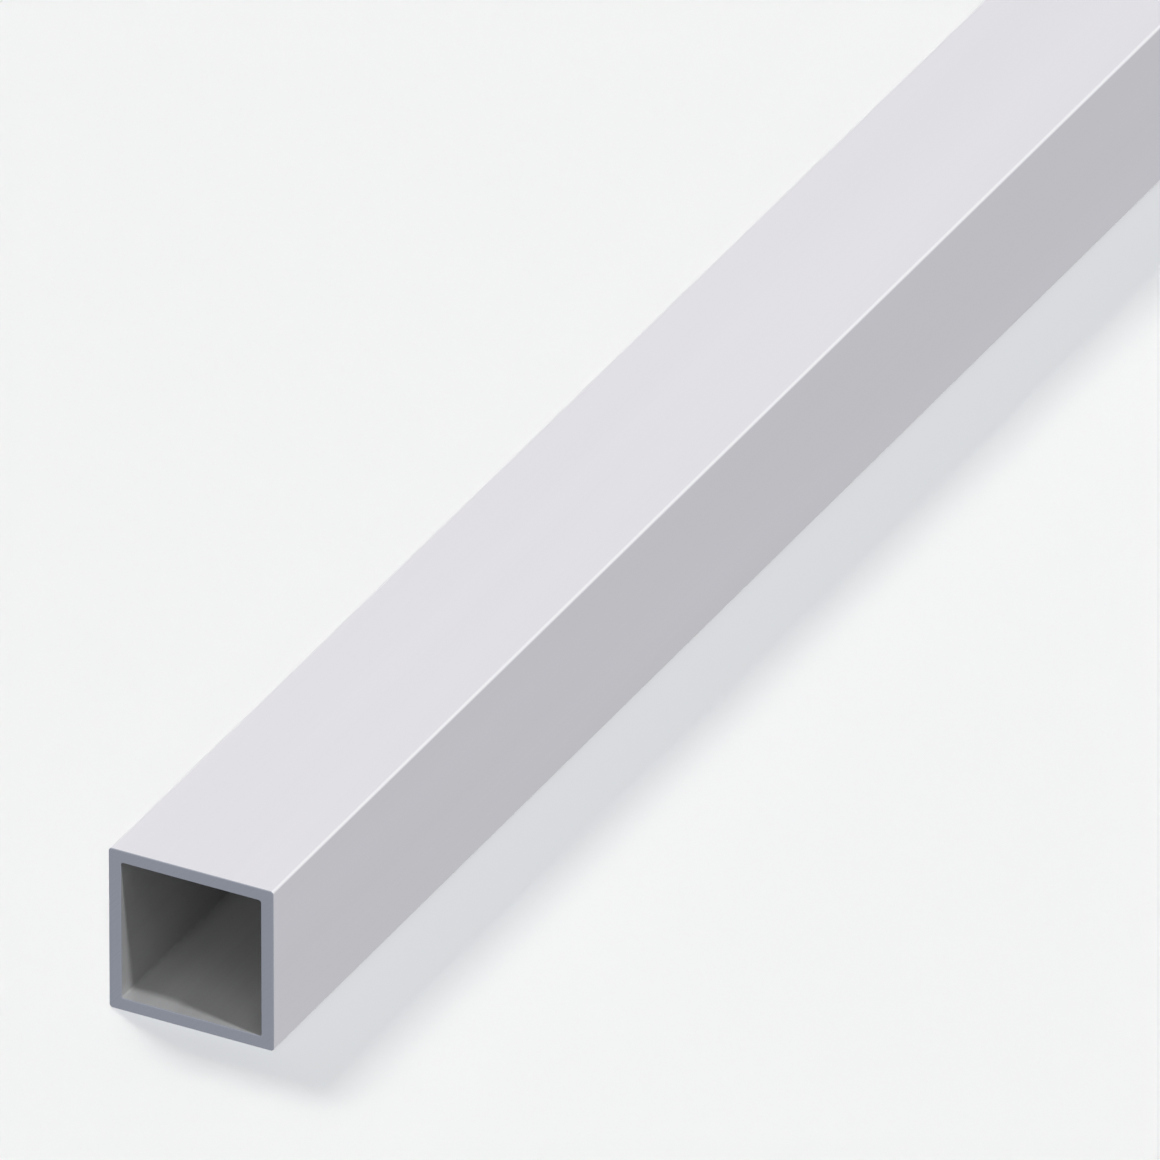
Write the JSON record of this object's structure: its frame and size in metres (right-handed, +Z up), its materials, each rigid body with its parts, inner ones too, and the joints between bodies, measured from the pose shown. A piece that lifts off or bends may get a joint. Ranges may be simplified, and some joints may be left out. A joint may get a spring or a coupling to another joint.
{
  "type": "square metal tube",
  "caption": "Square aluminium tube with thin even walls, small corner radii and open sawn ends, for light frames and brackets.",
  "frame": {"origin": "middle of the underside, half way along the tube", "axes": "+Y along the tube, +X across it, +Z up from the side it lies on"},
  "size_m": [0.02, 1, 0.02],
  "materials": {
    "anodised_aluminium": "satin silver anodised"
  },
  "bodies": {
    "root": {"square_tube": "anodised_aluminium"}
  },
  "joints": []
}
